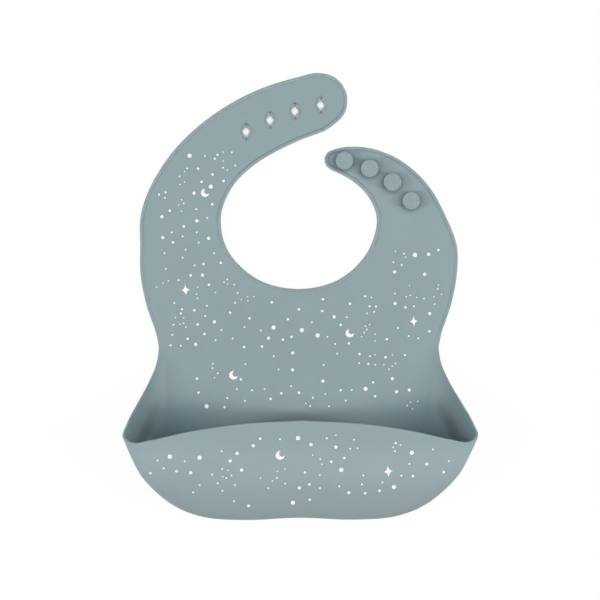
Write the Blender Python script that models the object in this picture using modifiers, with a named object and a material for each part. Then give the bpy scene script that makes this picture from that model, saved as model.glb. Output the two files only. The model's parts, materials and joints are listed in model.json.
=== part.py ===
"""Silicone bib for a baby, lying on its back: a flat chest panel, a scoop pocket that catches crumbs,
a neck strap with four slots and a neck strap with four studs. Metres, X across, Y up the chest, Z out
of the front."""

import math

import bmesh
import bpy
from mathutils import Vector
from mathutils.geometry import interpolate_bezier

MM = 0.001

# Sheet of silicone and the rounded bead along its free edge
SHEET = 2.0 * MM
BEAD_RISE = 0.5 * MM
BEAD_WIDTH = 2.4 * MM
EDGE_ROUND = 0.6 * MM
BEAD_FADE = 12.0 * MM
GAP = 0.3 * MM
MERGE = 0.01 * MM

# Chest panel
NECK_RADIUS = 52.5 * MM
NECK_Y = 56.3 * MM
CHEST_HALF = 106.3 * MM
CHEST_Y = 17.3 * MM
WAIST_HALF = 93.8 * MM
WAIST_DROP = 33.7 * MM
WAIST_Y = -WAIST_DROP
FOLD_Y = 33.3 * MM
SHOULDER_RISE = 15.0 * MM

# Pocket: root line on the panel, lip, and how its wall bends from one to the other
ROOT_INSET = 6.3 * MM
ROOT_HALF = WAIST_HALF - ROOT_INSET
ROOT_DEPTH = 96.0 * MM
ROOT_SQUARENESS = 5.3
ROOT_FLAT = 1.0 * MM
POCKET_Y = WAIST_Y - ROOT_FLAT
LIP_HEIGHT = 47.0 * MM
LIP_DROP = 46.5 * MM
CORNER_HALF = 116.9 * MM
CORNER_HEIGHT = 33.5 * MM
CORNER_DROP = 58.0 * MM
BOTTOM_BEND = 0.572
BOTTOM_DIP = 0.03
CORNER_BEND = 0.084
FRONT_FALL = 0.875
FRONT_LEAN = 0.08
CORNER_TUCK = 0.21
WING_FALL = 0.31

# Neck straps: width at the end of the run and radius of the rounded tip
SLOT_STRAP_WIDTH = 42.7 * MM
SLOT_TIP_RADIUS = 18.8 * MM
STUD_STRAP_WIDTH = 23.7 * MM
STUD_TIP_RADIUS = 7.0 * MM

# Closure
PITCH = 17.8 * MM
CLOSURES = 4
SLOT_WIDTH = 5.5 * MM
SLOT_HEIGHT = 7.0 * MM
SLIT_WIDTH = 0.6 * MM
SLIT_END_RADIUS = 0.85 * MM
SLIT_REACH = 4.7 * MM
STUD_HEAD_RADIUS = 5.9 * MM
STUD_HEAD_HEIGHT = 2.0 * MM
STUD_STEM_RADIUS = 2.6 * MM
STUD_STEM_HEIGHT = 2.4 * MM
STUD_FOOT = 0.8 * MM
STUD_ROUND = 0.5 * MM

# Chest side by station: how far up from the waist to the chest, and how far it bows out, as shares of the way
SIDE_STATIONS = ((0.15, -0.008), (0.55, 0.027))

# Straps by station: angle round the neck, then shares of the neck radius by which the inner edge lies outside
# it and by which the strap is wider than at its tip
SLOT_STATIONS = (
    (182, -0.006, 0.215),
    (158, -0.097, 0.093),
    (134, -0.171, 0.019),
    (110, -0.173, 0),
    (90, -0.088, 0),
)
STUD_STATIONS = ((-2, -0.010, 0.444), (14, -0.101, 0.303), (30, -0.208, 0.166), (46, -0.297, 0))
NECK_STATIONS = ((204, 0.032), (237, 0.010), (270, -0.017), (303, 0.002), (336, 0.013))

# Strap tips: angle round the neck, share of the neck radius by which the tip's centre lies outside the
# strap's middle line, which way the tip points, half of its arc
SLOT_TIP = (79.6, 0.124, 17, 80)
STUD_TIP = (55.4, -0.120, 170, 75)

# Where the closures start from the tip's centre, in pitches, and how their line heads and turns per pitch
SLOT_START = (0.050, -0.155, 0)
SLOT_HEADING = 190.0
SLOT_TURN = 6.5
STUD_START = (0.339, -0.031, 0)
STUD_HEADING = -10.3
STUD_TURN = -13.75

# Pocket edge by shares of the way from the middle of the lip, or from the waist, to the corner (x, y, z)
LIP_RUN = ((0.345, 0.20, 0.05), (0.648, 0.68, 0.26), (0.846, 1.14, 0.52), (0.946, 1.29, 0.74))
WING_RUN = ((0.90, 0.85, 0.82), (0.614, 0.627, 0.552), (0.282, 0.381, 0.269), (0.064, 0.161, 0.075))
WING_BLEND = (0.52, 0.86)
SIDE_BLEND = (0.67, 0.80)
TUCK_BLEND = (0.50, 0.625)
DIP_BLEND = (0, 0.19)

# Steps of the curves
KNOT_STEPS = 24
FINE_STEPS = 400
EDGE_STEPS = 270
ROOT_STEPS = 40
TIP_STEPS = 4
SLIT_END_STEPS = 8
POCKET_COLUMNS = 30
POCKET_ROWS = 12
TURN_STEPS = 28

COLOUR = (0.30, 0.38, 0.40, 1.0)

for old in list(bpy.data.objects):
    bpy.data.objects.remove(old)
parts = bpy.data.collections.new("silicone_bib")
cutters = bpy.data.collections.new("cutters")
for group in (parts, cutters):
    bpy.context.scene.collection.children.link(group)


def add_object(name, mesh, group=parts):
    obj = bpy.data.objects.new(name, mesh)
    group.objects.link(obj)
    if group is cutters:
        obj.hide_render = True
        obj.display_type = "WIRE"
        return obj
    material = bpy.data.materials.new(name + "_silicone")
    material.use_nodes = True
    shader = material.node_tree.nodes["Principled BSDF"]
    shader.inputs["Base Color"].default_value = COLOUR
    shader.inputs["Roughness"].default_value = 0.55
    shader.inputs["Metallic"].default_value = 0.0
    mesh.materials.append(material)
    return obj


def to_mesh(bm, name):
    bmesh.ops.recalc_face_normals(bm, faces=bm.faces)
    mesh = bpy.data.meshes.new(name)
    bm.to_mesh(mesh)
    bm.free()
    return mesh


def smooth_path(knots):
    """Bezier path through the knots, each handle along the way its two neighbours lead."""
    knots = [Vector(k) for k in knots]
    ends = [2 * knots[0] - knots[1]] + knots + [2 * knots[-1] - knots[-2]]
    path = []
    for a, b, c, d in zip(ends, ends[1:], ends[2:], ends[3:]):
        ab, bc, cd = b - a, c - b, d - c
        la, lb, lc = ab.length, bc.length, cd.length
        leave = bc / lb * la / (la + lb) + ab / la * lb / (la + lb)
        arrive = cd / lc * lb / (lb + lc) + bc / lb * lc / (lb + lc)
        run = interpolate_bezier(b, b + leave * lb / 3, c - arrive * lb / 3, c, KNOT_STEPS + 1)
        path += run[:-1]
    return path + [knots[-1]]


def even_path(path, count):
    """The path again with points at equal steps along it."""
    lengths = [0.0]
    for a, b in zip(path, path[1:]):
        lengths.append(lengths[-1] + (b - a).length)
    points = []
    at = 0
    for i in range(count + 1):
        want = lengths[-1] * i / count
        while at < len(path) - 2 and lengths[at + 1] < want:
            at += 1
        share = (want - lengths[at]) / (lengths[at + 1] - lengths[at])
        points.append(path[at].lerp(path[at + 1], min(1.0, share)))
    return points


def ease(value, low, high):
    t = min(1.0, max(0.0, (value - low) / (high - low)))
    return t * t * (3 - 2 * t)


def round_neck(angle, radius):
    a = math.radians(angle)
    return Vector((radius * math.cos(a), NECK_Y + radius * math.sin(a), 0))


def strap_edges(stations, width):
    """Points along a strap's inner and outer edges, from the shoulder to the end of the run."""
    inner = [round_neck(a, NECK_RADIUS * (1 + off)) for a, off, _ in stations]
    outer = [round_neck(a, NECK_RADIUS * (1 + off + extra) + width) for a, off, extra in stations]
    return inner, outer


def tip_centre(tip, stations, width):
    angle, off = tip[:2]
    return round_neck(angle, NECK_RADIUS * (1 + stations[-1][1] + off) + width / 2)


def tip_arc(tip, centre, radius):
    """Points round a strap's tip, clockwise."""
    heading, half = tip[2:]
    angles = [math.radians(heading + half - 2 * half * i / TIP_STEPS) for i in range(TIP_STEPS + 1)]
    return [centre + Vector((radius * math.cos(a), radius * math.sin(a), 0)) for a in angles]


slot_tip = tip_centre(SLOT_TIP, SLOT_STATIONS, SLOT_STRAP_WIDTH)
stud_tip = tip_centre(STUD_TIP, STUD_STATIONS, STUD_STRAP_WIDTH)


def free_edge():
    """Edge of the flat sheet from the left waist round both straps and the neck to the right waist."""
    waist = Vector((WAIST_HALF, WAIST_Y + GAP, 0))
    chest = Vector((CHEST_HALF, CHEST_Y, 0))
    bow_out = Vector(((chest - waist).length, 0, 0))
    side = [waist.lerp(chest, share) + bow_out * bow for share, bow in SIDE_STATIONS]
    side = [waist] + side + [chest, chest + Vector((0, SHOULDER_RISE, 0))]
    left = [Vector((-p.x, p.y, 0)) for p in side]
    slot_in, slot_out = strap_edges(SLOT_STATIONS, SLOT_STRAP_WIDTH)
    stud_in, stud_out = strap_edges(STUD_STATIONS, STUD_STRAP_WIDTH)
    knots = left + slot_out
    knots += tip_arc(SLOT_TIP, slot_tip, SLOT_TIP_RADIUS)
    knots += slot_in[::-1]
    knots += [round_neck(a, NECK_RADIUS * (1 + off)) for a, off in NECK_STATIONS]
    knots += stud_in
    knots += tip_arc(STUD_TIP, stud_tip, STUD_TIP_RADIUS)
    knots += stud_out[::-1] + side[::-1]
    return even_path(smooth_path(knots), EDGE_STEPS)


def root_point(angle, inset):
    half, depth = ROOT_HALF - inset, ROOT_DEPTH - inset
    power = 2 / ROOT_SQUARENESS
    return Vector((half * math.sin(angle) ** power, POCKET_Y - depth * abs(math.cos(angle)) ** power, 0))


def root_line(inset, count):
    """Right half of the line where the pocket leaves the panel, from the bottom centre up to the waist."""
    fine = [root_point(math.pi / 2 * i / FINE_STEPS, inset) for i in range(FINE_STEPS + 1)]
    return even_path(fine, count)


def sheet_blank():
    """The whole flat sheet, panel and both straps, with a bead along its free edge."""
    right = root_line(GAP, ROOT_STEPS)
    right.append(Vector((right[-1].x, WAIST_Y + GAP, 0)))
    left = [Vector((-p.x, p.y, 0)) for p in right[1:]]
    outline = free_edge() + right[::-1] + left
    bm = bmesh.new()
    back = bm.faces.new([bm.verts.new((p.x, p.y, EDGE_ROUND)) for p in outline])
    made = bmesh.ops.extrude_face_region(bm, geom=[back])["geom"]
    front = next(f for f in made if isinstance(f, bmesh.types.BMFace) and len(f.verts) == len(outline))
    wall = SHEET + BEAD_RISE - 2 * EDGE_ROUND
    bmesh.ops.translate(bm, verts=front.verts, vec=(0, 0, wall))
    bmesh.ops.recalc_face_normals(bm, faces=bm.faces)
    crest = BEAD_WIDTH - 2 * EDGE_ROUND
    bead = ((front, EDGE_ROUND, EDGE_ROUND), (front, crest, 0), (front, EDGE_ROUND, -BEAD_RISE))
    for face, inset, rise in bead + ((back, EDGE_ROUND, EDGE_ROUND),):
        bmesh.ops.inset_region(bm, faces=[face], thickness=inset, depth=rise, use_even_offset=True)
    for v in bm.verts:
        if v.co.z > SHEET:
            v.co.z = SHEET + (v.co.z - SHEET) * ease(v.co.y, WAIST_Y, WAIST_Y + BEAD_FADE)
    return bm


def cut_at_fold(bm, y, upper):
    """Keeps the sheet above or below the line Y = y and closes the cut."""
    everything = bm.verts[:] + bm.edges[:] + bm.faces[:]
    keep = {"clear_inner": upper, "clear_outer": not upper}
    cut = bmesh.ops.bisect_plane(bm, geom=everything, plane_co=(0, y, 0), plane_no=(0, 1, 0), **keep)
    bmesh.ops.holes_fill(bm, edges=[e for e in cut["geom_cut"] if isinstance(e, bmesh.types.BMEdge)])


def keep_island(bm, point):
    """Leaves only the body that is nearest to the point."""
    queue = [min(bm.verts, key=lambda v: (v.co - point).length)]
    seen = set(queue)
    while queue:
        vert = queue.pop()
        for edge in vert.link_edges:
            other = edge.other_vert(vert)
            if other not in seen:
                seen.add(other)
                queue.append(other)
    bmesh.ops.delete(bm, geom=[v for v in bm.verts if v not in seen], context="VERTS")


def closure_points(start, heading, turn):
    """Centres one pitch apart, from the strap's tip back towards the shoulder."""
    points = [start]
    for i in range(CLOSURES - 1):
        a = math.radians(heading + turn * (i + 0.5))
        points.append(points[-1] + PITCH * Vector((math.cos(a), math.sin(a), 0)))
    return points


def slot_cutter(centres):
    """Upright diamonds with a slit up and down, each slit ending in a round hole."""
    half_slit = SLIT_WIDTH / 2
    join = math.asin(half_slit / SLIT_END_RADIUS)
    upper = [Vector((SLOT_WIDTH / 2, 0, 0)), Vector((half_slit, SLOT_HEIGHT / 2, 0))]
    for i in range(SLIT_END_STEPS + 1):
        a = -math.pi / 2 + join + (2 * math.pi - 2 * join) * i / SLIT_END_STEPS
        hole = SLIT_END_RADIUS * Vector((math.cos(a), math.sin(a), 0))
        upper.append(Vector((0, SLIT_REACH, 0)) + hole)
    upper.append(Vector((-half_slit, SLOT_HEIGHT / 2, 0)))
    outline = upper + [-p for p in upper]
    bm = bmesh.new()
    for centre in centres:
        face = bm.faces.new([bm.verts.new(centre + p - Vector((0, 0, SHEET))) for p in outline])
        made = bmesh.ops.extrude_face_region(bm, geom=[face])["geom"]
        top = [v for v in made if isinstance(v, bmesh.types.BMVert)]
        bmesh.ops.translate(bm, verts=top, vec=(0, 0, 3 * SHEET))
    return add_object("slot_cutter", to_mesh(bm, "slot_cutter"), cutters)


def lip_line(count):
    """Right half of the pocket's free edge, from the middle of the lip round the corner to the waist."""
    middle = Vector((0, POCKET_Y - LIP_DROP, LIP_HEIGHT))
    corner = Vector((CORNER_HALF, POCKET_Y - CORNER_DROP, CORNER_HEIGHT))
    waist = Vector((WAIST_HALF, POCKET_Y, 0))
    knots = [middle]
    for start, end, shares in ((middle, corner, LIP_RUN), (waist, corner, WING_RUN)):
        run = [Vector(a + (b - a) * s for a, b, s in zip(start, end, share)) for share in shares]
        knots += run if start is middle else [corner] + run
    return even_path(smooth_path(knots + [waist]), count)


def pocket_half():
    """Outer skin of the pocket's right half: each column bends from the panel's root line up to the lip."""
    roots = root_line(0, POCKET_COLUMNS)
    lips = lip_line(POCKET_COLUMNS)
    bm = bmesh.new()
    columns = []
    for i, (root, lip) in enumerate(zip(roots, lips)):
        u = i / POCKET_COLUMNS
        along = roots[min(i + 1, POCKET_COLUMNS)] - roots[max(i - 1, 0)]
        outward = Vector((along.y, -along.x, 0)).normalized() if i else Vector((0, -1, 0))
        chord = lip - root
        span = chord.length
        front = 1 - ease(u, *WING_BLEND)
        upright = Vector((CORNER_TUCK * ease(u, *TUCK_BLEND), 1, FRONT_LEAN))
        rise = upright * front + chord / span * (1 - front)
        bend = BOTTOM_BEND + CORNER_BEND * math.sin(math.pi * u) ** 2
        bend -= BOTTOM_DIP * (1 - ease(u, *DIP_BLEND))
        fall = FRONT_FALL * front + WING_FALL * (1 - front)
        side = ease(u, *SIDE_BLEND)
        start = root + outward * ROOT_FLAT
        low = root + outward * span * (bend * (1 - side) + WING_FALL * side)
        high = lip - rise.normalized() * span * fall
        points = [root] + interpolate_bezier(start, low, high, lip, POCKET_ROWS + 1)
        columns.append([bm.verts.new(p) for p in points])
    columns.append([bm.verts.new(v.co + Vector((0, ROOT_FLAT, 0))) for v in columns[-1]])
    for left, right in zip(columns, columns[1:]):
        for a, b, c, d in zip(left, right, right[1:], left[1:]):
            bm.faces.new((a, b, c, d))
    mesh = bpy.data.meshes.new("catch_pocket")
    bm.to_mesh(mesh)
    bm.free()
    return mesh


def stud_profile():
    """Half section of a stud, radius and height, from the foot up to the middle of the head."""
    top = STUD_STEM_HEIGHT + STUD_HEAD_HEIGHT
    shoulder = STUD_ROUND * (1 - math.sqrt(0.5))
    return [
        (0, 0),
        (STUD_STEM_RADIUS + STUD_FOOT, 0),
        (STUD_STEM_RADIUS, STUD_FOOT),
        (STUD_STEM_RADIUS, STUD_STEM_HEIGHT),
        (STUD_HEAD_RADIUS - STUD_ROUND, STUD_STEM_HEIGHT),
        (STUD_HEAD_RADIUS, STUD_STEM_HEIGHT + STUD_ROUND),
        (STUD_HEAD_RADIUS, top - STUD_ROUND),
        (STUD_HEAD_RADIUS - shoulder, top - shoulder),
        (STUD_HEAD_RADIUS - STUD_ROUND, top),
        (0, top),
    ]


def add_stud(name, centre):
    bm = bmesh.new()
    verts = [bm.verts.new((r, 0, z)) for r, z in stud_profile()]
    for a, b in zip(verts, verts[1:]):
        bm.edges.new((a, b))
    mesh = bpy.data.meshes.new(name)
    bm.to_mesh(mesh)
    bm.free()
    stud = add_object(name, mesh)
    turn = stud.modifiers.new("turned", "SCREW")
    turn.steps = turn.render_steps = TURN_STEPS
    turn.use_merge_vertices = True
    turn.merge_threshold = MERGE
    turn.use_normal_calculate = True
    stud.location = centre + Vector((0, 0, SHEET + GAP))
    return stud


panel = sheet_blank()
cut_at_fold(panel, FOLD_Y - GAP / 2, upper=False)
add_object("chest_panel", to_mesh(panel, "chest_panel"))

straps = {}
for name, tip in (("slot_strap", slot_tip), ("stud_strap", stud_tip)):
    strap = sheet_blank()
    cut_at_fold(strap, FOLD_Y + GAP / 2, upper=True)
    keep_island(strap, tip)
    straps[name] = add_object(name, to_mesh(strap, name))

slots = closure_points(slot_tip + Vector(SLOT_START) * PITCH, SLOT_HEADING, SLOT_TURN)
cut = straps["slot_strap"].modifiers.new("slots", "BOOLEAN")
cut.operation = "DIFFERENCE"
cut.solver = "EXACT"
cut.object = slot_cutter(slots)

studs = closure_points(stud_tip + Vector(STUD_START) * PITCH, STUD_HEADING, STUD_TURN)
for i, centre in enumerate(studs):
    add_stud(f"stud_{i + 1}", centre)

pocket = add_object("catch_pocket", pocket_half())
both = pocket.modifiers.new("both_halves", "MIRROR")
both.merge_threshold = MERGE
wall = pocket.modifiers.new("wall", "SOLIDIFY")
wall.thickness = SHEET
wall.offset = -1
wall.use_even_offset = True
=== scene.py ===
"""Looks of a baby's silicone bib: one soft moulding with a beaded edge and a scoop pocket, a neck strap with
slots, a neck strap with studs, and a night-sky print in white ink. Metres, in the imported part's own frame."""

import json
import math
import random

import bpy
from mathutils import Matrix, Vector
from mathutils.geometry import interpolate_bezier
from mathutils.kdtree import KDTree

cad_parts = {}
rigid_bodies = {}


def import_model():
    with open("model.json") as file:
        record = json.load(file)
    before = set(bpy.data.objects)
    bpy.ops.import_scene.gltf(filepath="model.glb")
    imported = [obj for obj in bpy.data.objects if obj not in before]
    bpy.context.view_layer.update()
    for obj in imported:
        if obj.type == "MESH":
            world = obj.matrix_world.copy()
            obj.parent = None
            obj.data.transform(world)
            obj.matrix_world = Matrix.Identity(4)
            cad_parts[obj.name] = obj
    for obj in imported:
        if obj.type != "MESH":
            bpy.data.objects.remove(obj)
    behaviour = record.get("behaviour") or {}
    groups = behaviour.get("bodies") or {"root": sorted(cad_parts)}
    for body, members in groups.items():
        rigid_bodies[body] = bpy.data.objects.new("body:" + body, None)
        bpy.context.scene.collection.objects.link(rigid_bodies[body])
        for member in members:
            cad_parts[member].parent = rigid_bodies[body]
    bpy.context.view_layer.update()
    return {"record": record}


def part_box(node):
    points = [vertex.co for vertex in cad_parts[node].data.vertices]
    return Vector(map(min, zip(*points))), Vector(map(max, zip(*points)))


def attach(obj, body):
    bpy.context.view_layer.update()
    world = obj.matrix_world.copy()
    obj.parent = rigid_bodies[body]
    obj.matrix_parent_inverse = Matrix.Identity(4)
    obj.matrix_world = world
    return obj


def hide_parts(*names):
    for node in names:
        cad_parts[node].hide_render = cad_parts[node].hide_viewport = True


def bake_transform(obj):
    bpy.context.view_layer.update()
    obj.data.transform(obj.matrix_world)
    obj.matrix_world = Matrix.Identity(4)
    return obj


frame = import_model()

MM = 0.001

# Sheet of silicone and the bead along its free edge
SHEET = 2.0 * MM
BEAD_RISE = 0.5 * MM
BEAD_CREST = 1.45 * MM
BEAD_WIDTH = 2.4 * MM
BEAD_FADE = 12.0 * MM
BEAD_LINE_FADE = 0.3 * MM
EDGE_ROUND = 0.55 * MM
BAND = [d * MM for d in (0, 0.8, 1.45, 1.65, 1.9, 2.15, 2.4, 3.0)]
BAND_INNER = BAND[-1] * 0.9
BEAD_LINE_END = BAND[-1] * 0.95

# Chest panel
NECK_RADIUS = 52.5 * MM
NECK_Y = 56.3 * MM
CHEST_HALF = 106.3 * MM
CHEST_Y = 17.3 * MM
WAIST_HALF = 93.8 * MM
WAIST_Y = -33.7 * MM
SHOULDER_RISE = 15.0 * MM

# Pocket: root line on the panel, lip, and how its wall bends from one to the other
ROOT_HALF = WAIST_HALF - 6.3 * MM
ROOT_DEPTH = 96.0 * MM
ROOT_SQUARENESS = 5.3
ROOT_FLAT = 1.0 * MM
POCKET_Y = WAIST_Y - ROOT_FLAT
LIP_HEIGHT = 47.0 * MM
LIP_DROP = 46.5 * MM
CORNER_HALF = 116.9 * MM
CORNER_HEIGHT = 33.5 * MM
CORNER_DROP = 58.0 * MM
BOTTOM_BEND = 0.572
BOTTOM_DIP = 0.03
CORNER_BEND = 0.084
FRONT_FALL = 0.875
FRONT_LEAN = 0.08
CORNER_TUCK = 0.21
WING_FALL = 0.31

# Neck straps and their closure
SLOT_STRAP_WIDTH = 42.7 * MM
SLOT_TIP_RADIUS = 18.8 * MM
STUD_STRAP_WIDTH = 23.7 * MM
STUD_TIP_RADIUS = 7.0 * MM
PITCH = 17.8 * MM
CLOSURES = 4
SLOT_WIDTH = 5.5 * MM
SLOT_HEIGHT = 7.0 * MM
SLIT_WIDTH = 0.6 * MM
SLIT_END_RADIUS = 0.85 * MM
SLIT_REACH = 4.7 * MM

# Stations of the outline, as in the solids
SIDE_STATIONS = ((0.15, -0.008), (0.55, 0.027))
SLOT_STATIONS = (
    (182, -0.006, 0.215),
    (158, -0.097, 0.093),
    (134, -0.171, 0.019),
    (110, -0.173, 0),
    (90, -0.088, 0),
)
STUD_STATIONS = ((-2, -0.010, 0.444), (14, -0.101, 0.303), (30, -0.208, 0.166), (46, -0.297, 0))
NECK_STATIONS = ((204, 0.032), (237, 0.010), (270, -0.017), (303, 0.002), (336, 0.013))
SLOT_TIP = (79.6, 0.124, 17, 80)
STUD_TIP = (55.4, -0.120, 170, 75)
SLOT_START = (0.050, -0.155, 0)
SLOT_HEADING = 190.0
SLOT_TURN = 6.5
LIP_RUN = ((0.345, 0.20, 0.05), (0.648, 0.68, 0.26), (0.846, 1.14, 0.52), (0.946, 1.29, 0.74))
WING_RUN = ((0.90, 0.85, 0.82), (0.614, 0.627, 0.552), (0.282, 0.381, 0.269), (0.064, 0.161, 0.075))
WING_BLEND = (0.52, 0.86)
SIDE_BLEND = (0.67, 0.80)
TUCK_BLEND = (0.50, 0.625)
DIP_BLEND = (0, 0.19)

# Steps of the curves and grids
KNOT_STEPS = 32
FINE_STEPS = 600
TIP_STEPS = 4
EDGE_COLUMNS = 620
POCKET_COLUMNS = 180
WALL_ROWS = 26
WALL_SAMPLES = 160
WELD = 0.02 * MM
SHARP_EDGE = 60
SMOOTH_ANGLE = 40

# Slot pads, studs and the bend of the straps
SLIT_END_STEPS = 20
PAD_WIDTH = 8.2 * MM
PAD_HEIGHT = 12.9 * MM
PAD_POWER = 1.25
PAD_STEP = 0.04 * MM
PAD_LINE = 0.75 * MM
PAD_TAPER = 1.5
PAD_RISE = 0.24 * MM
PAD_ROUND = 0.18 * MM
PAD_STEPS = 56
STUD_HEAD_HEIGHT = 2.0 * MM
STUD_STEM_RADIUS = 2.6 * MM
STUD_FOOT = 0.8 * MM
STUD_SINK = 0.05 * MM
STUD_ROUND = 0.35 * MM
STUD_FLAT = 0.6
STUD_SIDES = 64
RING_APART = 0.001 * MM
ROUND_STEPS = 5
BEND_LENGTH = 22.0 * MM
BEND_LINES = 14

# Print: places and sizes in mm. A motif has a kind, x, y, radius and turn; a patch of sky has its left, low, right
# and high bounds, its count of single stars and its count of flocks
PRINT_SEED = 11
PRINT_MARGIN = 7.0 * MM
PRINT_TRIES = 3000
FOLD_CLEAR = 1.6 * MM
POCKET_PRINT_HALF = 104.0 * MM
POCKET_PRINT_LOW = -141.0 * MM
POCKET_PRINT_HIGH = -90.0 * MM
POCKET_PRINT_BOWS = (2.2, 1.3)
INK_LIFT = 0.03 * MM
INK_BODY = 0.07 * MM
INK_START = LIP_HEIGHT * 2
INK_MISSED = LIP_HEIGHT * 1.5
DOT_SIDES = 14
STAR_RADII = (0.62, 0.84, 1.06, 1.4)
STAR_SHARES = (34, 38, 20, 8)
STAR_GAP = 4.4 * MM
FLOCK_RADII = (0.46, 0.57, 0.72)
FLOCK_SHARES = (40, 42, 18)
FLOCK_COUNT = (4, 9)
FLOCK_SPREAD = 3.6
FLOCK_GAP = 1.4 * MM
MOTIF_ROOM = 5.5 * MM
SPARKLE_STEPS = 48
SPARKLE_POWER = 4.2
SPARKLE_WIDTH = 0.72
CRESCENT_STEPS = 16
CRESCENT_TIP = 42
CRESCENT_HOLLOW = 0.25
SHOULDER_MOTIFS = (("crescent", -63, 69, 2.7, 40),)
CHEST_MOTIFS = (
    ("sparkle", -76, 4, 5.2, 6),
    ("crescent", 34, -25, 2.8, 50),
    ("crescent", -44, -53, 2.9, 35),
    ("sparkle", 77, -17, 4.8, 3),
)
POCKET_MOTIFS = (("crescent", -14, -104, 2.9, 40), ("sparkle", 57, -115, 5.4, 8))
SHOULDER_PATCHES = ((-94, 35, -42, 98, 24, 6),)
CHEST_PATCHES = (
    (-92, -34, -42, 31, 26, 5),
    (-42, -42, 60, -2, 31, 4),
    (60, -34, 96, 31, 15, 4),
    (-74, -75, 84, -42, 30, 5),
)
POCKET_PATCHES = ((-100, -142, 0, -90, 26, 4), (0, -142, 104, -90, 26, 4))

# Painted shade and highlight on the pocket: shares of painted shade in its corners and along the inside of its wings
# and of painted highlight on its front, and where these shares rise and fall, across and down from the bib's origin
# or inwards from the wing's rim
PAINTED_SHADE_ROWS = (60, 65, 70, 75, 80, 85, 92)
PAINTED_SHADE_COLUMNS = (36, 46, 56, 66, 76, 84)
DEEP_FACE = 20 * MM * MM
DEEP_FLAT = 0.999
CORNER_PAINTED_SHADE = 0.21
PAINTED_SHADING_TINT = (-1.25, -1.0, -0.75)
CORNER_SHADE_ACROSS = (36 * MM, 84 * MM)
CORNER_SHADE_DOWN = (62 * MM, 83 * MM)
WING_PAINTED_SHADE = 0.24
WING_FADE = (1 * MM, 12 * MM)
WING_PAINTED_LIGHT = 0.08
WING_MIDDLE = (15 * MM, 21 * MM, 30 * MM, 35 * MM)
WING_FOOT = (16 * MM, 28 * MM)
WING_INSIDE = (0.55, 0.95)
WING_RISE = (0, 16 * MM)
BELLY_PAINTED_HIGHLIGHT = 0.06
BELLY = (94 * MM, 107 * MM, 118 * MM, 130 * MM)

# Colours, light and camera
SILICONE_COLOUR = (0.268, 0.351, 0.371)
SILICONE_SURFACE = {"IOR": 1.41, "Specular IOR Level": 0.25, "Sheen Weight": 0.04, "Sheen Roughness": 0.5}
SILICONE_ROUGHNESS = 0.5
# Painted highlight on the bead and pads, and painted shade on the lines along them
RIM_PAINTED_HIGHLIGHT = 0.04
LINE_PAINTED_SHADE = -0.13
BUMP_HEIGHT = 0.2 * MM
CLOUD_SCALE = 34.0
CLOUD_NOISE = {"From Min": 0.3, "From Max": 0.7}
CLOUD_SHADES = (0.975, 1.025)
CLOUD_GLOSS = 0.12
INK_COLOUR = (0.93, 0.93, 0.93)
INK_GRAIN = (0.5, 0.03, 0.45)
# Painted shadow on the strap round the studs, found by ambient occlusion
STUD_SHADOW_REACH = 5.0 * MM
STUD_SHADOW_DARK = 0.25
FLOOR_SIZE = 8.0
FLOOR_GAP = 0.2 * MM
FLOOR_LEVEL = 1.0
FLOOR_BOUNCE = 0.45
FLOOR_GLOW = 0.95
NOOK_REACH = 8.0 * MM
NOOK_DARK = 0.25
NOOK_OPEN = 0.55
ROOM_LEVEL = 0.02
LIGHT_AIM = (0, -0.08, 0)
SIDE_LIGHTS = (
    ("side_low", (1.5, -0.28, 0.55), (0.12, 0.5), 7.0),
    ("side_middle", (1.4, -0.26, 1.0), (0.12, 0.5), 5.2),
    ("side_back", (1.3, 0.55, 0.95), (0.5, 0.5), 2.3),
    ("side_front", (1.1, -1.2, 0.5), (0.6, 0.5), 1.8),
)
TOP_LIGHTS = (
    ("overhead_box", (0, 0.1, 1.6), (2.0, 1.6), 8.7),
    ("overhead_strip", (0, -0.26, 1.6), (6.0, 0.14), 9.7),
    ("high_back", (0.5, 0.7, 1.4), (0.8, 0.6), 3.4),
    ("low_front", (0, -1.6, 0.45), (3.0, 0.4), 4.6),
)
COOL_LIGHTS = ("overhead_box", "high_back", "side_back")
COOL_LAMP = (0.93, 1.0, 1.02)
WARM_LAMP = (1.055, 1.0, 0.985)
SENSOR = 36.0
CAMERA_HEIGHT = 1.55
VIEW_WIDTH = 402.6 * MM
CAMERA_LEAN = 2.2
CAMERA_AIM = (0.67 * MM, -2.7 * MM, 0)


def ease(value, low, high):
    t = min(1.0, max(0.0, (value - low) / (high - low)))
    return t * t * (3 - 2 * t)


def smooth_path(knots):
    """Bezier path through the knots, each handle along the way its two neighbours lead."""
    knots = [Vector(k) for k in knots]
    ends = [2 * knots[0] - knots[1]] + knots + [2 * knots[-1] - knots[-2]]
    path = []
    for a, b, c, d in zip(ends, ends[1:], ends[2:], ends[3:]):
        ab, bc, cd = b - a, c - b, d - c
        la, lb, lc = ab.length, bc.length, cd.length
        leave = bc / lb * la / (la + lb) + ab / la * lb / (la + lb)
        arrive = cd / lc * lb / (lb + lc) + bc / lb * lc / (lb + lc)
        run = interpolate_bezier(b, b + leave * lb / 3, c - arrive * lb / 3, c, KNOT_STEPS + 1)
        path += run[:-1]
    return path + [knots[-1]]


def points_at(path, wanted):
    """Points of the path at the wanted distances along it, which rise from 0."""
    lengths = [0.0]
    for a, b in zip(path, path[1:]):
        lengths.append(lengths[-1] + (b - a).length)
    points = []
    at = 0
    for want in wanted:
        while at < len(path) - 2 and lengths[at + 1] < want:
            at += 1
        share = (want - lengths[at]) / (lengths[at + 1] - lengths[at])
        points.append(path[at].lerp(path[at + 1], min(1.0, share)))
    return points


def path_length(path):
    return sum((b - a).length for a, b in zip(path, path[1:]))


def even_path(path, count):
    total = path_length(path)
    return points_at(path, [total * i / count for i in range(count + 1)])


# Outline of the sheet

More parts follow.
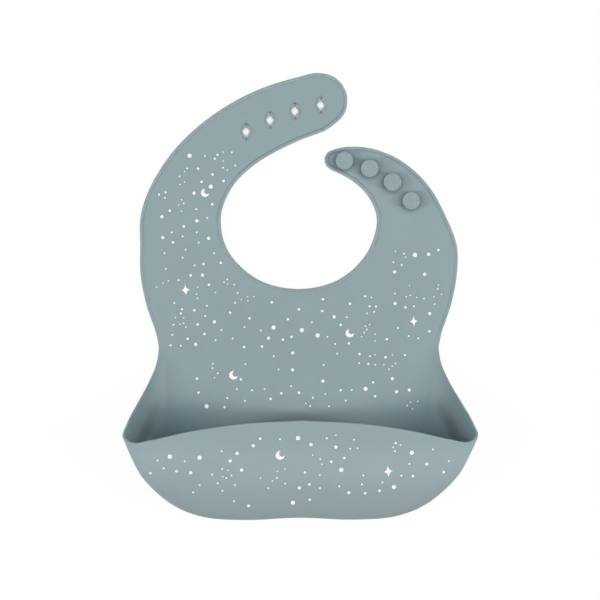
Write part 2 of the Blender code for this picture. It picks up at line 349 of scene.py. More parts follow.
def round_neck(angle, radius):
    a = math.radians(angle)
    return Vector((radius * math.cos(a), NECK_Y + radius * math.sin(a), 0))


def strap_edges(stations, width):
    inner = [round_neck(a, NECK_RADIUS * (1 + off)) for a, off, _ in stations]
    outer = [round_neck(a, NECK_RADIUS * (1 + off + extra) + width) for a, off, extra in stations]
    return inner, outer


def tip_centre(tip, stations, width):
    angle, off = tip[:2]
    return round_neck(angle, NECK_RADIUS * (1 + stations[-1][1] + off) + width / 2)


def tip_arc(tip, centre, radius):
    heading, half = tip[2:]
    angles = [math.radians(heading + half - 2 * half * i / TIP_STEPS) for i in range(TIP_STEPS + 1)]
    return [centre + Vector((radius * math.cos(a), radius * math.sin(a), 0)) for a in angles]


slot_tip = tip_centre(SLOT_TIP, SLOT_STATIONS, SLOT_STRAP_WIDTH)
stud_tip = tip_centre(STUD_TIP, STUD_STATIONS, STUD_STRAP_WIDTH)


def free_edge():
    """Edge of the flat sheet from the left waist round both straps and the neck to the right waist."""
    waist = Vector((WAIST_HALF, POCKET_Y, 0))
    chest = Vector((CHEST_HALF, CHEST_Y, 0))
    bow_out = Vector(((chest - waist).length, 0, 0))
    side = [waist.lerp(chest, share) + bow_out * bow for share, bow in SIDE_STATIONS]
    side = [waist] + side + [chest, chest + Vector((0, SHOULDER_RISE, 0))]
    left = [Vector((-p.x, p.y, 0)) for p in side]
    slot_in, slot_out = strap_edges(SLOT_STATIONS, SLOT_STRAP_WIDTH)
    stud_in, stud_out = strap_edges(STUD_STATIONS, STUD_STRAP_WIDTH)
    knots = left + slot_out
    knots += tip_arc(SLOT_TIP, slot_tip, SLOT_TIP_RADIUS)
    knots += slot_in[::-1]
    knots += [round_neck(a, NECK_RADIUS * (1 + off)) for a, off in NECK_STATIONS]
    knots += stud_in
    knots += tip_arc(STUD_TIP, stud_tip, STUD_TIP_RADIUS)
    knots += stud_out[::-1] + side[::-1]
    return even_path(smooth_path(knots), EDGE_COLUMNS)


# Pocket surface

def root_point(angle):
    power = 2 / ROOT_SQUARENESS
    rise = ROOT_DEPTH * abs(math.cos(angle)) ** power
    return Vector((ROOT_HALF * math.sin(angle) ** power, POCKET_Y - rise, 0))


def root_line(count):
    """Right half of the line where the pocket leaves the panel, from the bottom centre up to the waist."""
    return even_path([root_point(math.pi / 2 * i / FINE_STEPS) for i in range(FINE_STEPS + 1)], count)


def lip_line(count):
    """Right half of the pocket's free edge, from the middle of the lip round the corner to the waist."""
    middle = Vector((0, POCKET_Y - LIP_DROP, LIP_HEIGHT))
    corner = Vector((CORNER_HALF, POCKET_Y - CORNER_DROP, CORNER_HEIGHT))
    waist = Vector((WAIST_HALF, POCKET_Y, 0))
    knots = [middle]
    for start, end, shares in ((middle, corner, LIP_RUN), (waist, corner, WING_RUN)):
        run = [Vector(a + (b - a) * s for a, b, s in zip(start, end, share)) for share in shares]
        knots += run if start is middle else [corner] + run
    return even_path(smooth_path(knots + [waist]), count)


def pocket_columns():
    """Columns of the pocket's right half, each from the lip down its wall to the root line."""
    half = POCKET_COLUMNS // 2
    roots = root_line(half)
    lips = lip_line(half)
    columns = []
    for i, (root, lip) in enumerate(zip(roots, lips)):
        u = i / half
        along = roots[min(i + 1, half)] - roots[max(i - 1, 0)]
        outward = Vector((along.y, -along.x, 0)).normalized() if i else Vector((0, -1, 0))
        chord = lip - root
        span = chord.length
        front = 1 - ease(u, *WING_BLEND)
        upright = Vector((CORNER_TUCK * ease(u, *TUCK_BLEND), 1, FRONT_LEAN))
        rise = upright * front + chord / span * (1 - front)
        bend = BOTTOM_BEND + CORNER_BEND * math.sin(math.pi * u) ** 2
        bend -= BOTTOM_DIP * (1 - ease(u, *DIP_BLEND))
        fall = FRONT_FALL * front + WING_FALL * (1 - front)
        side = ease(u, *SIDE_BLEND)
        start = root + outward * ROOT_FLAT
        low = root + outward * span * (bend * (1 - side) + WING_FALL * side)
        high = lip - rise.normalized() * span * fall
        wall = [root] + interpolate_bezier(start, low, high, lip, WALL_SAMPLES)
        wall.reverse()
        rest = path_length(wall) - BAND[-1]
        wanted = BAND + [BAND[-1] + rest * (k + 1) / WALL_ROWS for k in range(WALL_ROWS)]
        columns.append(points_at(wall, wanted))
    return columns


# Modelling helpers

def pick(*objects):
    """Object mode, with only these objects selected and the first one active."""
    if bpy.context.mode != "OBJECT":
        bpy.ops.object.mode_set(mode="OBJECT")
    bpy.ops.object.select_all(action="DESELECT")
    for obj in objects:
        obj.select_set(True)
    bpy.context.view_layer.objects.active = objects[0]


def added(name):
    """The primitive that was just added, under its own name and alone in the selection."""
    obj = bpy.context.object
    obj.name = name
    obj.data.name = name
    pick(obj)
    return obj


def select_items(obj, kind, test):
    """Edit mode with only the points, edges or faces that pass the test selected."""
    pick(obj)
    bpy.ops.object.mode_set(mode="EDIT")
    bpy.ops.mesh.select_mode(type=kind)
    bpy.ops.mesh.select_all(action="DESELECT")
    bpy.ops.object.mode_set(mode="OBJECT")
    mesh = obj.data
    items = {"VERT": mesh.vertices, "EDGE": mesh.edges, "FACE": mesh.polygons}[kind]
    for item in items:
        item.select = test(item)
    bpy.ops.object.mode_set(mode="EDIT")


def select_whole(obj):
    pick(obj)
    bpy.ops.object.mode_set(mode="EDIT")
    bpy.ops.mesh.select_all(action="SELECT")


def leave_edit():
    bpy.ops.object.mode_set(mode="OBJECT")


def apply_modifier(obj, name, kind, **settings):
    pick(obj)
    modifier = obj.modifiers.new(name, kind)
    for key, value in settings.items():
        setattr(modifier, key, value)
    bpy.ops.object.modifier_apply(modifier=name)


def shaped_grid(name, columns):
    """A grid primitive whose points are moved onto the given columns of points."""
    across = len(columns) - 1
    down = len(columns[0]) - 1
    bpy.ops.object.select_all(action="DESELECT")
    bpy.ops.mesh.primitive_grid_add(x_subdivisions=across, y_subdivisions=down, size=2)
    grid = added(name)
    for v in grid.data.vertices:
        i = round((v.co.x + 1) / 2 * across)
        k = round((v.co.y + 1) / 2 * down)
        v.co = columns[i][k]
    return grid


def join(name, *objects):
    pick(*objects)
    bpy.ops.object.join()
    joined = bpy.context.object
    joined.name = name
    joined.data.name = name
    return joined


def merge(obj, distance):
    select_whole(obj)
    bpy.ops.mesh.remove_doubles(threshold=distance)
    leave_edit()


def duplicate(obj, name):
    copy = obj.copy()
    copy.data = obj.data.copy()
    copy.name = name
    copy.data.name = name
    bpy.context.collection.objects.link(copy)
    return copy


def nearest_among(points):
    """Finder of the nearest of these points."""
    finder = KDTree(len(points))
    for i, p in enumerate(points):
        finder.insert(p, i)
    finder.balance()
    return finder


# Skin of the whole bib

edge_points = free_edge()
near_edge = nearest_among(edge_points)


def edge_band():
    """Columns across the band that follows the free edge of the sheet, from the edge inwards."""
    columns = []
    for i, point in enumerate(edge_points):
        before = edge_points[max(i - 1, 0)]
        after = edge_points[min(i + 1, EDGE_COLUMNS)]
        along = (after - before).normalized()
        inward = Vector((along.y, -along.x, 0))
        if i in (0, EDGE_COLUMNS):
            inward = Vector((-point.x, 0, 0)).normalized()
        columns.append([point + inward * d for d in BAND])
    return columns


def whole_pocket():
    right = pocket_columns()
    left = [[Vector((-p.x, p.y, p.z)) for p in column] for column in right[:0:-1]]
    return left + right


def bib_skin():
    """The moulding in one piece: band along the edge, pocket wall and flat sheet, given its thickness."""
    skin = join("bib_skin", shaped_grid("edge_band", edge_band()), shaped_grid("wall", whole_pocket()))
    merge(skin, WELD)
    uses = [0] * len(skin.data.edges)
    for polygon in skin.data.polygons:
        for loop in polygon.loop_indices:
            uses[skin.data.loops[loop].edge_index] += 1
    near_rim = nearest_among(edge_points + [column[0] for column in whole_pocket()])
    points = skin.data.vertices

    def round_hole(edge):
        return uses[edge.index] == 1 and all(near_rim.find(points[v].co)[2] > BAND_INNER for v in edge.vertices)

    select_items(skin, "EDGE", round_hole)
    bpy.ops.mesh.edge_face_add()
    bpy.ops.mesh.select_all(action="SELECT")
    bpy.ops.mesh.normals_make_consistent(inside=False)
    leave_edit()
    sheet = max(skin.data.polygons, key=lambda p: p.area)
    if sheet.normal.z > 0:
        select_whole(skin)
        bpy.ops.mesh.flip_normals()
        leave_edit()
    apply_modifier(skin, "thickness", "SOLIDIFY", thickness=SHEET, offset=-1, use_even_offset=True)
    return skin


def raise_bead(obj):
    """The front of the sheet rises to a bead along its free edge, which fades out at the waist."""
    for v in obj.data.vertices:
        if v.co.y > WAIST_Y and v.co.z > SHEET / 2:
            reach = near_edge.find(Vector((v.co.x, v.co.y, 0)))[2]
            crest = 1 - ease(reach, BEAD_CREST, BEAD_WIDTH)
            v.co.z += BEAD_RISE * crest * ease(v.co.y, WAIST_Y, WAIST_Y + BEAD_FADE)


def round_rim(obj):
    """Rounds the square edges of the sheet and of the pocket's lip."""
    select_items(obj, "EDGE", lambda edge: False)
    bpy.ops.mesh.edges_select_sharp(sharpness=math.radians(SHARP_EDGE))
    bpy.ops.mesh.bevel(offset=EDGE_ROUND, segments=3, affect="EDGES")
    leave_edit()


joints = {joint["name"]: joint for joint in frame["record"]["behaviour"]["joints"]}
fold_y = joints["slot_strap_fold"]["pos_m"][1]

skin = bib_skin()
raise_bead(skin)
round_rim(skin)


def cut_at(obj, y, keep):
    """Keeps the part of the piece above or below a line across it, and closes the cut."""
    select_whole(obj)
    sides = {"clear_inner": keep == "above", "clear_outer": keep == "below"}
    bpy.ops.mesh.bisect(plane_co=(0, y, 0), plane_no=(0, 1, 0), use_fill=True, **sides)
    leave_edit()


def keep_island(obj, point):
    """Leaves only the part of the piece that is joined to the place nearest to the point."""
    nearest = min(obj.data.vertices, key=lambda v: (v.co - point).length).index
    select_items(obj, "VERT", lambda v: v.index == nearest)
    bpy.ops.mesh.select_linked()
    bpy.ops.mesh.select_all(action="INVERT")
    bpy.ops.mesh.delete(type="VERT")
    leave_edit()


def score_bend(obj):
    """Lines across the strap where it curls up, so that it bends in a smooth curve."""
    for i in range(BEND_LINES):
        select_whole(obj)
        y = fold_y + BEND_LENGTH * (i + 1) / BEND_LINES
        bpy.ops.mesh.bisect(plane_co=(0, y, 0), plane_no=(0, 1, 0))
        leave_edit()


def smooth_shade(obj):
    pick(obj)
    bpy.ops.object.shade_smooth_by_angle(angle=math.radians(SMOOTH_ANGLE))


def neck_strap(name, tip):
    strap = duplicate(skin, name)
    cut_at(strap, fold_y, "above")
    keep_island(strap, tip)
    score_bend(strap)
    return strap


slot_strap = neck_strap("slot_strap_skin", slot_tip)
stud_strap = neck_strap("stud_strap_skin", stud_tip)
body = skin
body.name = "bib_body"
body.data.name = "bib_body"
cut_at(body, fold_y, "below")


# Slots of the closure, each in a low raised pad

def shaped_disc(name, outline):
    """A filled circle primitive whose points are moved onto the given outline."""
    bpy.ops.object.select_all(action="DESELECT")
    bpy.ops.mesh.primitive_circle_add(vertices=len(outline), fill_type="NGON")
    disc = added(name)
    for v, p in zip(disc.data.vertices, outline):
        v.co = p
    select_whole(disc)
    bpy.ops.mesh.normals_make_consistent(inside=False)
    leave_edit()
    if disc.data.polygons[0].normal.z < 0:
        select_whole(disc)
        bpy.ops.mesh.flip_normals()
        leave_edit()
    return disc


def raised(disc, low, high):
    """The disc moved to the low level and drawn up to the high one."""
    for v in disc.data.vertices:
        v.co.z = low
    select_whole(disc)
    bpy.ops.mesh.extrude_region_move(TRANSFORM_OT_translate={"value": (0, 0, high - low)})
    bpy.ops.mesh.select_all(action="SELECT")
    bpy.ops.mesh.normals_make_consistent(inside=False)
    leave_edit()
    return disc


def closure_points(start, heading, turn):
    """Centres one pitch apart, from the strap's tip back towards the shoulder."""
    points = [start]
    for i in range(CLOSURES - 1):
        a = math.radians(heading + turn * (i + 0.5))
        points.append(points[-1] + PITCH * Vector((math.cos(a), math.sin(a), 0)))
    return points


def slot_outline(centre):
    """Upright diamond with a slit up and down, each slit ending in a round hole."""
    half_slit = SLIT_WIDTH / 2
    turn = math.asin(half_slit / SLIT_END_RADIUS)
    upper = [Vector((SLOT_WIDTH / 2, 0, 0)), Vector((half_slit, SLOT_HEIGHT / 2, 0))]
    for i in range(SLIT_END_STEPS + 1):
        a = -math.pi / 2 + turn + (2 * math.pi - 2 * turn) * i / SLIT_END_STEPS
        upper.append(Vector((0, SLIT_REACH, 0)) + SLIT_END_RADIUS * Vector((math.cos(a), math.sin(a), 0)))
    upper.append(Vector((-half_slit, SLOT_HEIGHT / 2, 0)))
    return [centre + p for p in upper] + [centre - p for p in upper]


def pad_outline(centre, trim):
    """Lemon shape round a slot, trimmed by the given width."""
    points = []
    for i in range(PAD_STEPS):
        a = 2 * math.pi * i / PAD_STEPS
        x = math.copysign(abs(math.cos(a)) ** PAD_POWER, math.cos(a)) * (PAD_WIDTH / 2 - trim)
        y = math.copysign(abs(math.sin(a)) ** PAD_POWER, math.sin(a)) * (PAD_HEIGHT / 2 - trim * PAD_TAPER)
        points.append(centre + Vector((x, y, 0)))
    return points


def cut_slots(strap):
    """Each slot goes through a low pad with a shallow step along its edge."""
    slots = closure_points(slot_tip + Vector(SLOT_START) * PITCH, SLOT_HEADING, SLOT_TURN)
    steps = [raised(shaped_disc("step", pad_outline(c, 0)), SHEET / 2, SHEET + PAD_STEP) for c in slots]
    pads = [raised(shaped_disc("pad", pad_outline(c, PAD_LINE)), SHEET / 2, SHEET + PAD_RISE) for c in slots]
    for pad in pads:
        select_items(pad, "EDGE", lambda e: all(pad.data.vertices[v].co.z > SHEET for v in e.vertices))
        bpy.ops.mesh.bevel(offset=PAD_ROUND, segments=2, affect="EDGES")
        leave_edit()
    cutters = [raised(shaped_disc("slot", slot_outline(c)), -SHEET, 3 * SHEET) for c in slots]
    for tools, how in ((steps, "UNION"), (pads, "UNION"), (cutters, "DIFFERENCE")):
        tool = join("tool", *tools)
        apply_modifier(strap, "closure", "BOOLEAN", operation=how, solver="EXACT", object=tool)
        bpy.data.objects.remove(tool)


cut_slots(slot_strap)


# Studs

def turned_stud(number):
    """A stud drawn up from its foot ring by ring: flared foot, stem, undercut head with rounded edges."""
    low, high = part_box(f"stud_{number}")
    centre = (low + high) / 2
    head = (high.x - low.x) / 2
    under = high.z - STUD_HEAD_HEIGHT
    foot = SHEET - STUD_SINK
    rings = [(STUD_STEM_RADIUS + STUD_FOOT, foot)]
    for i in range(1, ROUND_STEPS + 1):
        a = math.pi / 2 * i / ROUND_STEPS
        rings.append((STUD_STEM_RADIUS + STUD_FOOT * (1 - math.sin(a)), foot + STUD_FOOT * (1 - math.cos(a))))
    rings += [(STUD_STEM_RADIUS, under), (head - STUD_ROUND, under)]
    for middle, begin in ((under + STUD_ROUND, -90), (high.z - STUD_ROUND, 0)):
        for i in range(ROUND_STEPS + 1):
            a = math.radians(begin + 90 * i / ROUND_STEPS)
            rings.append((head - STUD_ROUND + STUD_ROUND * math.cos(a), middle + STUD_ROUND * math.sin(a)))
    rings.append((head * STUD_FLAT, high.z))
    bpy.ops.object.select_all(action="DESELECT")
    at = (centre.x, centre.y, foot)
    bpy.ops.mesh.primitive_circle_add(vertices=STUD_SIDES, radius=rings[0][0], fill_type="NGON", location=at)
    stud = added(f"stud_head_{number}")
    select_whole(stud)
    for (r0, z0), (r1, z1) in zip(rings, rings[1:]):
        if (r1 - r0) ** 2 + (z1 - z0) ** 2 < RING_APART ** 2:
            continue
        bpy.ops.mesh.extrude_region_move(TRANSFORM_OT_translate={"value": (0, 0, z1 - z0)})
        bpy.ops.transform.resize(value=(r1 / r0, r1 / r0, 1), center_override=(centre.x, centre.y, z1))
    bpy.ops.mesh.select_all(action="SELECT")
    bpy.ops.mesh.normals_make_consistent(inside=False)
    leave_edit()
    bpy.ops.object.transform_apply(location=True, rotation=True, scale=True)
    smooth_shade(stud)
    return stud


studs = [turned_stud(i + 1) for i in range(CLOSURES)]
for piece in (body, slot_strap, stud_strap):
    smooth_shade(piece)


# Night-sky print in white ink

def inside(point):
    """True where the flat sheet lies, well clear of its edges."""
    if near_edge.find(point)[2] < PRINT_MARGIN:
        return False
    if point.y < POCKET_Y:
        return abs(point.x) < ROOT_HALF - PRINT_MARGIN
    odd = False
    for a, b in zip(edge_points, edge_points[1:]):
        if (a.y > point.y) != (b.y > point.y):
            odd ^= point.x < a.x + (b.x - a.x) * (point.y - a.y) / (b.y - a.y)
    return odd


def on_pocket(point):
    """True where the pocket's front shows from before it, clear of its lip and corners."""
    x, y = abs(point.x), point.y
    rise, drop = [x * x * bow for bow in POCKET_PRINT_BOWS]
    return x < POCKET_PRINT_HALF and POCKET_PRINT_LOW + rise < y < POCKET_PRINT_HIGH - drop


def starry(rng, patches, allowed):
    """Stars over each patch of sky: flocks of small ones, then single ones spread evenly between them."""
    stars = []

    def place_star(spot, radius, gap):
        place = spot * MM
        crowded = any((place - p).length < (radius + r) * MM + gap for p, r in stars)
        if crowded or not allowed(place) or any((place - m).length < MOTIF_ROOM for m in motif_places):
            return 0
        stars.append((place, radius))
        return 1

    for left, low, right, high, singles, flocks in patches:
        for _ in range(flocks):
            heart = Vector((rng.uniform(left, right), rng.uniform(low, high), 0))
            for _ in range(rng.randint(*FLOCK_COUNT)):
                apart = Vector((rng.gauss(0, FLOCK_SPREAD), rng.gauss(0, FLOCK_SPREAD), 0))
                place_star(heart + apart, rng.choices(FLOCK_RADII, FLOCK_SHARES)[0], FLOCK_GAP)
        made = 0
        for _ in range(PRINT_TRIES):
            if made < singles:
                spot = Vector((rng.uniform(left, right), rng.uniform(low, high), 0))
                made += place_star(spot, rng.choices(STAR_RADII, STAR_SHARES)[0], STAR_GAP)
    return stars


def dot_outline():
    angles = [2 * math.pi * i / DOT_SIDES for i in range(DOT_SIDES)]
    return [Vector((math.cos(a), math.sin(a), 0)) for a in angles]


def sparkle_outline():
    """Four long points with hollow sides."""
    points = []
    for i in range(SPARKLE_STEPS):
        a = 2 * math.pi * i / SPARKLE_STEPS
        x = math.copysign(abs(math.cos(a)) ** SPARKLE_POWER, math.cos(a)) * SPARKLE_WIDTH
        y = math.copysign(abs(math.sin(a)) ** SPARKLE_POWER, math.sin(a))
        points.append(Vector((x, y, 0)))
    return points


def crescent_outline():
    """Outer arc of a disc, back along the arc of a disc moved to one side."""
    tip = math.radians(CRESCENT_TIP)
    bite = Vector((math.cos(tip) - math.sin(tip) * CRESCENT_HOLLOW, 0, 0))
    hollow = Vector((math.cos(tip), math.sin(tip), 0)) - bite
    reach = math.atan2(hollow.y, hollow.x)
    points = []
    for i in range(CRESCENT_STEPS):
        a = tip + (2 * math.pi - 2 * tip) * i / CRESCENT_STEPS
        points.append(Vector((math.cos(a), math.sin(a), 0)))
    for i in range(CRESCENT_STEPS):
        a = 2 * math.pi - reach - (2 * math.pi - 2 * reach) * i / CRESCENT_STEPS
        points.append(bite + hollow.length * Vector((math.cos(a), math.sin(a), 0)))
    return points


def stamped(template, place, size, turn=0):
    """A copy of a motif laid at a place, at its size and angle."""
    copy = duplicate(template, "motif")
    a = math.radians(turn)
    for v in copy.data.vertices:
        x, y = v.co.x * size * MM, v.co.y * size * MM
        spun = Vector((x * math.cos(a) - y * math.sin(a), x * math.sin(a) + y * math.cos(a), 0))
        v.co = place + spun
    return copy


def printed(name, dots, motifs, target):
    """One piece of ink: its motifs laid on the target from the front and given a thin body."""
    dot = shaped_disc("dot", dot_outline())
    templates = {"sparkle": shaped_disc("sparkle", sparkle_outline())}
    templates["crescent"] = shaped_disc("crescent", crescent_outline())
    stamps = [stamped(dot, place, radius) for place, radius in dots]
    for kind, x, y, size, turn in motifs:
        stamps.append(stamped(templates[kind], Vector((x, y, 0)) * MM, size, turn))
    for template in (dot, *templates.values()):
        bpy.data.objects.remove(template)
    ink = join(name, *stamps)
    for v in ink.data.vertices:
        v.co.z = INK_START
    laid = {"wrap_method": "PROJECT", "use_project_z": True, "use_negative_direction": True}
    laid |= {"use_positive_direction": False, "target": target, "offset": INK_LIFT}
    apply_modifier(ink, "laid", "SHRINKWRAP", **laid)
    missed = [v for v in ink.data.vertices if v.co.z > INK_MISSED]
    if missed:
        raise ValueError(f"{name}: {len(missed)} points of ink lie beside the bib")
    apply_modifier(ink, "body", "SOLIDIFY", thickness=INK_BODY, offset=1)
    smooth_shade(ink)
    return ink


motif_places = [Vector((x, y, 0)) * MM for _, x, y, _, _ in CHEST_MOTIFS + SHOULDER_MOTIFS + POCKET_MOTIFS]
rng = random.Random(PRINT_SEED)
chest_dots = starry(rng, CHEST_PATCHES, lambda p: inside(p) and p.y < fold_y - FOLD_CLEAR)
shoulder_dots = starry(rng, SHOULDER_PATCHES, lambda p: inside(p) and p.y > fold_y + FOLD_CLEAR)
pocket_dots = starry(rng, POCKET_PATCHES, on_pocket)
chest_print = printed("chest_print", chest_dots, CHEST_MOTIFS, body)
shoulder_print = printed("shoulder_print", shoulder_dots, SHOULDER_MOTIFS, slot_strap)
pocket_print = printed("pocket_print", pocket_dots, POCKET_MOTIFS, body)


# Finishes, with highlight and shade painted into the silicone's colour

def rim_attributes(obj):
    """Where highlight is painted on the bead and pads, where shade is painted on the lines along them, and the front
    of the sheet.
    """
    rim = obj.data.attributes.new("rim", "FLOAT", "POINT")
    line = obj.data.attributes.new("painted_line_shade", "FLOAT", "POINT")
    front = obj.data.attributes.new("front", "FLOAT", "POINT")
    for v, near, dark, face in zip(obj.data.vertices, rim.data, line.data, front.data):
        face.value = v.co.z > SHEET / 2
        reach = near_edge.find(Vector((v.co.x, v.co.y, 0)))[2]
        there = ease(v.co.y, WAIST_Y, WAIST_Y + BEAD_FADE) * face.value
        near.value = there * (1 - ease(reach, BEAD_CREST, BEAD_WIDTH))
        dark.value = there * ease(reach, BEAD_CREST, BEAD_WIDTH - BEAD_LINE_FADE) * (reach < BEAD_LINE_END)
        # On the slot strap's pads: painted highlight on the raised pad, painted shade along its step
        if reach > BEAD_WIDTH * 2 and obj == slot_strap:
            near.value = v.co.z > SHEET + PAD_STEP * 2
            dark.value = abs(v.co.z - SHEET - PAD_STEP) < PAD_STEP / 4


def line_panel(obj):
    """Lines across the flat panel behind the pocket's mouth, so that the shade painted on it can change over it."""
    lines = [((0, -y * MM, 0), (0, 1, 0)) for y in PAINTED_SHADE_ROWS]
    lines += [((side * x * MM, 0, 0), (1, 0, 0)) for x in PAINTED_SHADE_COLUMNS for side in (-1, 1)]
    for place, across in lines:
        select_items(obj, "FACE", lambda face: face.normal.z > DEEP_FLAT and face.area > DEEP_FACE)
        bpy.ops.mesh.bisect(plane_co=place, plane_no=across)
        leave_edit()


def paint_shading(obj):
    """Painted shade in the pocket's corners and along the inside of its wings, and painted highlight on its front."""
    near_wing = nearest_among([p for p in lip_line(POCKET_COLUMNS) if p.y > POCKET_Y - CORNER_DROP])
    painted_shading = obj.data.attributes.new("painted_shading", "FLOAT", "POINT")
    for v, value in zip(obj.data.vertices, painted_shading.data):
        x, y, z = abs(v.co.x), v.co.y, v.co.z
        corner = CORNER_PAINTED_SHADE * ease(x, *CORNER_SHADE_ACROSS) * ease(-y, *CORNER_SHADE_DOWN)
        if x > ROOT_HALF and y > POCKET_Y - CORNER_DROP:
            inward = ease(v.normal.z - v.normal.x * math.copysign(1, v.co.x), *WING_INSIDE)
            reach = near_wing.find(Vector((x, y, z)))[2]
            lit = ease(reach, *WING_MIDDLE[:2]) * (1 - ease(reach, *WING_MIDDLE[2:]))
            wing = WING_PAINTED_SHADE * (1 - ease(reach, *WING_FADE)) - WING_PAINTED_LIGHT * lit
            value.value = (corner * ease(reach, *WING_FOOT) + wing * ease(z, *WING_RISE)) * inward
        elif z < SHEET * 2 and v.normal.z > 0:
            value.value = corner
        elif v.normal.z > 0:
            value.value = -BELLY_PAINTED_HIGHLIGHT * ease(-y, *BELLY[:2]) * (1 - ease(-y, *BELLY[2:]))


def feed(tree, into, source):
    """Gives an input its link from another node, or its constant."""
    if isinstance(source, bpy.types.NodeSocket):
        tree.links.new(source, into)
    else:
        into.default_value = source


def node(tree, kind, *sources, **values):
    """A new node with its inputs fed in order or by name, and its settings by name."""
    made = tree.nodes.new(kind)
    for key, value in values.items():
        if key in made.inputs:
            feed(tree, made.inputs[key], value)
        else:
            setattr(made, key, value)
    for into, source in zip(made.inputs, sources):
        feed(tree, into, source)
    return made


def maths(tree, operation, *sources):
    return node(tree, "ShaderNodeMath", *sources, operation=operation).outputs[0]


def ranged(tree, value, low, high, **values):
    """The value spread from low to high."""
    spread = {"To Min": low, "To Max": high}
    return node(tree, "ShaderNodeMapRange", value, **spread, **values).outputs["Result"]


def marked(tree, name):
    return node(tree, "ShaderNodeAttribute", attribute_name=name).outputs["Fac"]


def moulded_grain():
    """Node group: soft clouding of the colour and the fine grain that a sand-blasted mould leaves."""
    group = bpy.data.node_groups.new("moulded_grain", "ShaderNodeTree")
    for name, default in (("Grain Size", 0.35), ("Grain Speck", 0.04), ("Roughness", 0.55)):
        socket = group.interface.new_socket(name, in_out="INPUT", socket_type="NodeSocketFloat")
        socket.default_value = default
    for name in ("Shade", "Roughness", "Height"):
        group.interface.new_socket(name, in_out="OUTPUT", socket_type="NodeSocketFloat")
    given = node(group, "NodeGroupInput").outputs
    place = node(group, "ShaderNodeTexCoord").outputs["Object"]
    pitch = maths(group, "DIVIDE", 1 / MM, given["Grain Size"])
    grain = node(group, "ShaderNodeTexNoise", place, Scale=pitch, Detail=3.0, Roughness=0.6).outputs["Fac"]
    cloud = node(group, "ShaderNodeTexNoise", place, Scale=CLOUD_SCALE, Detail=4.0, Roughness=0.55).outputs["Fac"]
    specks = maths(group, "MULTIPLY", maths(group, "SUBTRACT", grain, 0.5), given["Grain Speck"])
    shade = maths(group, "ADD", ranged(group, cloud, *CLOUD_SHADES, **CLOUD_NOISE), specks)
    gloss = maths(group, "MULTIPLY_ADD", cloud, CLOUD_GLOSS, given["Roughness"])
    node(group, "NodeGroupOutput", shade, gloss, grain)
    return group


grain_group = moulded_grain()


def grained(tree, size, speck, roughness):
    values = {"Grain Size": size, "Grain Speck": speck, "Roughness": roughness}
    return node(tree, "ShaderNodeGroup", node_tree=grain_group, **values).outputs


def new_material(name):
    material = bpy.data.materials.new(name)
    material.use_nodes = True
    tree = material.node_tree
    return material, tree, tree.nodes["Principled BSDF"]


def paint_stud_shadow(tree, shade):
    """Painted shadow: the shade made darker on the front of the strap, where a stud's head stands close over it."""
    near = node(tree, "ShaderNodeAmbientOcclusion", Distance=STUD_SHADOW_REACH, samples=8)
    painted_shading = ranged(tree, near.outputs["AO"], STUD_SHADOW_DARK, 1.0)
    return maths(tree, "MULTIPLY", shade, ranged(tree, marked(tree, "front"), 1.0, painted_shading))


def silicone(name, grain_size, speck, bump, stud_shadow=False):
    """Matte silicone with a dusty bloom; highlight painted on the edge's bead, shade painted on the line inside it.
    """
    material, tree, shader = new_material(name)
    grain = grained(tree, grain_size, speck, SILICONE_ROUGHNESS)
    # Painted highlight on the bead and pads, painted shade on the lines along them
    lighter = maths(tree, "MULTIPLY_ADD", marked(tree, "rim"), RIM_PAINTED_HIGHLIGHT, grain["Shade"])
    shade = maths(tree, "MULTIPLY_ADD", marked(tree, "painted_line_shade"), LINE_PAINTED_SHADE, lighter)
    # Painted shadow round the studs
    if stud_shadow:
        shade = paint_stud_shadow(tree, shade)
    tint = node(tree, "ShaderNodeVectorMath", SILICONE_COLOUR, operation="SCALE", Scale=shade)
    # Painted shading: the pocket's corners and wings darkened and its front lightened in the colour
    painted_shading_factor = node(tree, "ShaderNodeVectorMath", marked(tree, "painted_shading"), PAINTED_SHADING_TINT, (1, 1, 1), operation="MULTIPLY_ADD")
    colour = node(tree, "ShaderNodeVectorMath", tint.outputs[0], painted_shading_factor.outputs[0], operation="MULTIPLY")
    relief = node(tree, "ShaderNodeBump", Strength=bump, Distance=BUMP_HEIGHT, Height=grain["Height"])
    surface = {"Base Color": colour.outputs[0], "Roughness": grain["Roughness"], "Normal": relief.outputs[0]}
    for key, source in (SILICONE_SURFACE | surface).items():
        feed(tree, shader.inputs[key], source)
    return material


def white_ink():
    """Screen-printed white with a slight unevenness."""
    material, tree, shader = new_material("white_ink")
    grain = grained(tree, *INK_GRAIN)
    tint = node(tree, "ShaderNodeVectorMath", INK_COLOUR, operation="SCALE", Scale=grain["Shade"])
    feed(tree, shader.inputs["Base Color"], tint.outputs[0])
    feed(tree, shader.inputs["Roughness"], grain["Roughness"])
    return material


def finish_with(obj, material):
    obj.data.materials.clear()
    obj.data.materials.append(material)


skin_silicone = silicone("skin_silicone", grain_size=0.45, speck=0.03, bump=0.10)
# The stud strap's silicone carries painted shadow round the studs
strap_silicone = silicone("strap_silicone", grain_size=0.45, speck=0.03, bump=0.10, stud_shadow=True)
stud_silicone = silicone("stud_silicone", grain_size=0.85, speck=1.05, bump=0.35)
ink = white_ink()
# Lines to hold the painted shading of the pocket, then that painted shading
line_panel(body)
paint_shading(body)
for piece, material in ((body, skin_silicone), (slot_strap, skin_silicone), (stud_strap, strap_silicone)):
    rim_attributes(piece)
    finish_with(piece, material)
for stud in studs:
    finish_with(stud, stud_silicone)
for piece in (chest_print, shoulder_print, pocket_print):
    finish_with(piece, ink)


# Body, straps, pocket and shoulder prints only baked in place; chest print and studs hung on bodies; solids hidden

def bend_over(piece):
    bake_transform(piece)


def stretch_open(piece):
    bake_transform(piece)


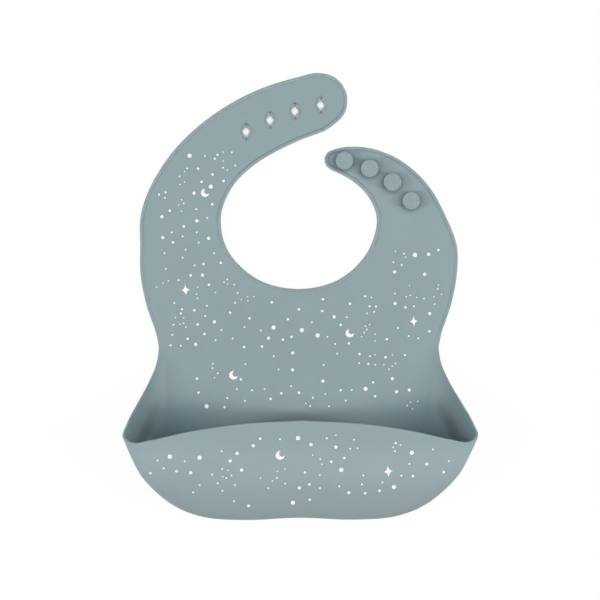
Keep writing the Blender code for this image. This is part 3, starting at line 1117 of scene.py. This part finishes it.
stretch_open(body)
stretch_open(pocket_print)
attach(chest_print, "bib")
for piece in (slot_strap, shoulder_print):
    bend_over(piece)
bend_over(stud_strap)
for stud in studs:
    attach(stud, "stud_strap")
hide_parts("chest_panel", "catch_pocket")
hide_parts("slot_strap")
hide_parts("stud_strap")
for i, stud in enumerate(studs):
    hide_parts(f"stud_{i + 1}")


# Floor, light and camera

def seen_directly(tree):
    """1 for what the camera sees, also in a mirror or through glass, and 0 for light that strikes the object."""
    path = node(tree, "ShaderNodeLightPath").outputs
    gloss = maths(tree, "MAXIMUM", path["Is Camera Ray"], path["Is Glossy Ray"])
    return maths(tree, "MAXIMUM", gloss, path["Is Transmission Ray"])


def white_floor():
    bpy.ops.object.select_all(action="DESELECT")
    bpy.ops.mesh.primitive_plane_add(size=FLOOR_SIZE, location=(0, 0, -FLOOR_GAP))
    floor = added("floor")
    bpy.ops.object.transform_apply(location=True)
    material, tree, shader = new_material("floor_white")
    seen = seen_directly(tree)
    feed(tree, shader.inputs["Base Color"], ranged(tree, seen, FLOOR_BOUNCE, FLOOR_LEVEL))
    feed(tree, shader.inputs["Roughness"], 1.0)
    feed(tree, shader.inputs["Specular IOR Level"], 0.0)
    glow = node(tree, "ShaderNodeEmission", Color=(1, 1, 1, 1), Strength=1.0)
    nook = node(tree, "ShaderNodeAmbientOcclusion", Distance=NOOK_REACH, samples=16)
    closeness = {"From Min": NOOK_DARK, "From Max": NOOK_OPEN, "interpolation_type": "SMOOTHSTEP"}
    open_floor = ranged(tree, nook.outputs["AO"], 0.0, FLOOR_GLOW, **closeness)
    most = maths(tree, "MULTIPLY", seen, open_floor)
    blend = node(tree, "ShaderNodeMixShader", most, shader.outputs[0], glow.outputs[0])
    feed(tree, tree.nodes["Material Output"].inputs["Surface"], blend.outputs[0])
    finish_with(floor, material)


def room_light():
    world = bpy.data.worlds.new("white_room")
    world.use_nodes = True
    bpy.context.scene.world = world
    tree = world.node_tree
    ground = tree.nodes["Background"]
    ground.inputs["Color"].default_value = (1, 1, 1, 1)
    feed(tree, ground.inputs["Strength"], ranged(tree, seen_directly(tree), ROOM_LEVEL, 1.0))


def softbox(name, place, size, power):
    lamp = bpy.data.lights.new(name, "AREA")
    lamp.shape = "RECTANGLE"
    lamp.size, lamp.size_y = size
    lamp.energy = power
    lamp.color = COOL_LAMP if name in COOL_LIGHTS else WARM_LAMP
    obj = bpy.data.objects.new(name, lamp)
    bpy.context.collection.objects.link(obj)
    obj.location = place
    obj.rotation_euler = (Vector(LIGHT_AIM) - Vector(place)).to_track_quat("-Z", "Y").to_euler()


def photo_camera():
    lens = bpy.data.cameras.new("camera")
    lens.sensor_width = SENSOR
    lens.lens = SENSOR * CAMERA_HEIGHT / VIEW_WIDTH
    camera = bpy.data.objects.new("camera", lens)
    bpy.context.collection.objects.link(camera)
    a = math.radians(CAMERA_LEAN)
    camera.location = Vector(CAMERA_AIM) + CAMERA_HEIGHT * Vector((-math.sin(a), 0, math.cos(a)))
    camera.rotation_euler = (0, -a, 0)
    bpy.context.scene.camera = camera


white_floor()
room_light()
for name, place, size, power in TOP_LIGHTS:
    softbox(name, place, size, power)
for name, place, size, power in SIDE_LIGHTS:
    for side in (-1, 1):
        softbox(name, (side * place[0], *place[1:]), size, power)
photo_camera()
bpy.context.scene.view_settings.view_transform = "Standard"
